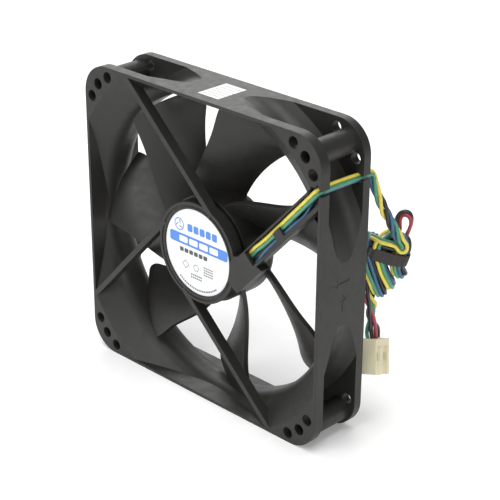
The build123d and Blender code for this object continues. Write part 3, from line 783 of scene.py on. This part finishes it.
def fan_symbol(bm, x, z, radius, to_point):
    """A plain round mark: a ring with three curved vanes."""
    ring_faces(bm, x, z, radius, radius * 0.84, to_point, 40)
    for k in range(3):
        turn = 120 * k + 20
        outline = []
        for t in range(VANE_STEPS + 1):
            f = t / VANE_STEPS
            outline.append((0.22 + 0.5 * f, radians(turn + 75 * f)))
        for t in range(VANE_STEPS + 1):
            f = 1 - t / VANE_STEPS
            outline.append((0.22 + 0.5 * f, radians(turn + 42 + 12 * f)))
        vane = [(x + radius * r * cos(t), z + radius * r * sin(t)) for r, t in outline]
        flat_shape(bm, vane, to_point)


def hub_print():
    """A round mark, a bar and rows of even blocks, in three inks. None of them forms a letter."""
    blue = bmesh.new()
    fan_symbol(blue, -9.6, 8.7, 2.5, on_label)
    dashes(blue, -5.2, 7.2, 10.2, (2.6,) * 5, 0.6, on_label)
    flat_shape(blue, bar(-14.6, 15.6, 1.1, 5.3, 1.0), on_label)
    white = bmesh.new()
    dashes(white, -9.6, 2.0, 4.4, (4.4,) * 4, 0.9, on_blue_bar)
    grey = bmesh.new()
    dashes(grey, -9.4, -1.9, -0.2, (2.0,) * 6, 0.5, on_label)
    small_print(grey)
    for name, bm, ink in (
        ("label_print_blue", blue, print_ink("blue_ink", (0.075, 0.24, 0.68))),
        ("label_print_white", white, print_ink("white_ink", (0.86, 0.87, 0.87))),
        ("label_print_grey", grey, print_ink("grey_ink", (0.07, 0.07, 0.075))),
    ):
        bmesh.ops.recalc_face_normals(bm, faces=bm.faces)
        mesh_object(name, bm, "housing", ink)


def small_print(bm):
    """Two plain marks, blocks of tiny dashes and an arc of them at the rim."""
    ring_faces(bm, -6.4, -6.6, 1.8, 1.5, on_label, 4)
    ring_faces(bm, -0.8, -6.6, 1.5, 1.25, on_label, 6)
    for row in range(4):
        dashes(bm, 3.2, -5.2 - row, -4.7 - row, (0.7,) * 5, 0.3, on_label)
    for row in range(2):
        dashes(bm, -3.6, -10.0 - 1.1 * row, -9.4 - 1.1 * row, (0.7,) * 6, 0.3, on_label)
    for k in range(22):
        ring_faces(bm, 0, 0, 15.6, 14.9, on_label, 2, 232 + 3.6 * k, 2.3)


def sticker_print():
    """Faint rows of print on the small sticker on the upper edge."""
    bm = bmesh.new()
    for row in range(6):
        y = -6.6 + 2.0 * row
        widths = [0.4 + 0.25 * ((row * 5 + k * 3) % 4) for k in range(9)]
        dashes(bm, -2.2, y, y + 0.8, widths, 0.25, on_sticker)
    bmesh.ops.recalc_face_normals(bm, faces=bm.faces)
    ink = print_ink("faint_ink", (0.42, 0.43, 0.43))
    mesh_object("sticker_print", bm, "housing", ink)


hub_print()
sticker_print()


# ------------------------------------------------------------------ stage and light


FLOOR_HALF = 4.0
FLOOR_GLOW = 0.15
SKY_STRENGTH = 0.24


def make_floor():
    """A plain white floor with a faint glow of its own, so that shadows on it stay soft."""
    bm = bmesh.new()
    bmesh.ops.create_grid(bm, x_segments=1, y_segments=1, size=FLOOR_HALF)
    mesh = bpy.data.meshes.new("floor")
    bm.to_mesh(mesh)
    bm.free()
    floor = bpy.data.objects.new("floor", mesh)
    bpy.context.scene.collection.objects.link(floor)
    shader = Shader("floor_paper")
    clouds = shader.noise(300.0, 2.0)
    colours = shader.ramp(clouds, (0.3, (0.92, 0.92, 0.92)), (0.7, (0.94, 0.94, 0.94)))
    shader.link(colours, "Base Color")
    shader.set(Roughness=0.9, Specular_IOR_Level=0.1)
    shader.set(Emission_Color=(1, 1, 1, 1), Emission_Strength=FLOOR_GLOW)
    mesh.materials.append(shader.material)


def area_light(name, place, target, size, watts):
    data = bpy.data.lights.new(name, "AREA")
    data.shape = "DISK"
    data.size = size
    data.energy = watts
    light = bpy.data.objects.new(name, data)
    light.location = Vector(place)
    light.rotation_euler = (Vector(target) - light.location).to_track_quat("-Z", "Y").to_euler()
    bpy.context.scene.collection.objects.link(light)


def make_lights():
    """A dim sky and four large soft lights. The one at the back brightens the top faces."""
    scene = bpy.context.scene
    scene.world = bpy.data.worlds.new("studio")
    scene.world.use_nodes = True
    sky = scene.world.node_tree.nodes["Background"]
    sky.inputs["Color"].default_value = (1.0, 1.0, 1.0, 1)
    sky.inputs["Strength"].default_value = SKY_STRENGTH
    scene.view_settings.view_transform = "Standard"
    middle = (0.01, 0.01, 0.06)
    area_light("over", (0.05, -0.1, 1.3), middle, 1.1, 12)
    area_light("back", (-0.85, 0.90, 0.75), middle, 1.2, 8.5)
    area_light("front", (-0.25, -1.1, 0.65), middle, 0.9, 7)
    area_light("right", (1.0, -0.5, 0.35), middle, 0.7, 3)


make_floor()
make_lights()
